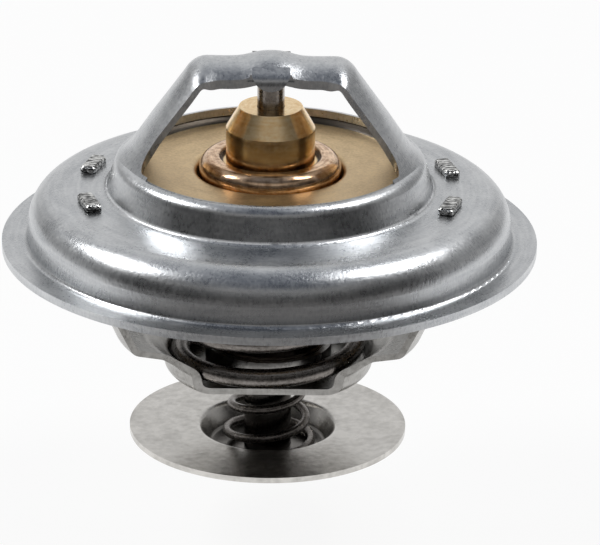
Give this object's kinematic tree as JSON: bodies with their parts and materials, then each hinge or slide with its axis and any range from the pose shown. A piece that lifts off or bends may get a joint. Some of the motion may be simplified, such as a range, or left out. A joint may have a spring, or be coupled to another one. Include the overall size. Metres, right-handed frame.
{
  "type": "engine thermostat",
  "caption": "Wax valve for engine coolant: pressed steel flange and bridge, brass valve plate on a sprung copper wax element, spring-loaded bypass disc below.",
  "frame": {"origin": "centre of the flat flange, in the plane of its top face", "axes": "+Z along the valve's axis towards the bridge, +X along the bridge"},
  "size_m": [0.067, 0.067, 0.0549],
  "materials": {
    "frame_steel": "zinc plated, satin with a fine frosty spangle",
    "pin_steel": "ground",
    "spring_steel": "bare drawn wire",
    "plate_brass": "matt rolled sheet",
    "cup_copper": "drawn and rolled copper alloy, polished rim",
    "guide_brass": "turned",
    "boot_rubber": "moulded",
    "washer_plastic": "turned",
    "wax": "cast wax with metal powder",
    "bypass_steel": "zinc plated, satin"
  },
  "bodies": {
    "frame": {"upper_frame": "frame_steel", "lower_frame": "frame_steel", "piston_pin": "pin_steel", "main_spring": "spring_steel"},
    "element": {"valve_plate": "plate_brass", "wax_cup": "cup_copper", "guide": "guide_brass", "rubber_boot": "boot_rubber", "chafe_washer": "washer_plastic", "wax_charge": "wax", "stem_clip": "spring_steel", "bypass_spring": "spring_steel"},
    "bypass": {"bypass_plate": "bypass_steel"}
  },
  "joints": [
    {"name": "valve_lift", "type": "slide", "parent": "frame", "child": "element", "axis": [0, 0, -1], "range_m": [0, 0.008], "stiffness_N_per_m": 7400, "springref_m": -0.012, "deforming": ["main_spring"]},
    {"name": "bypass_slide", "type": "slide", "parent": "element", "child": "bypass", "axis": [0, 0, 1], "range_m": [0, 0.0045], "stiffness_N_per_m": 6200, "springref_m": -0.003, "deforming": ["bypass_spring"]}
  ]
}
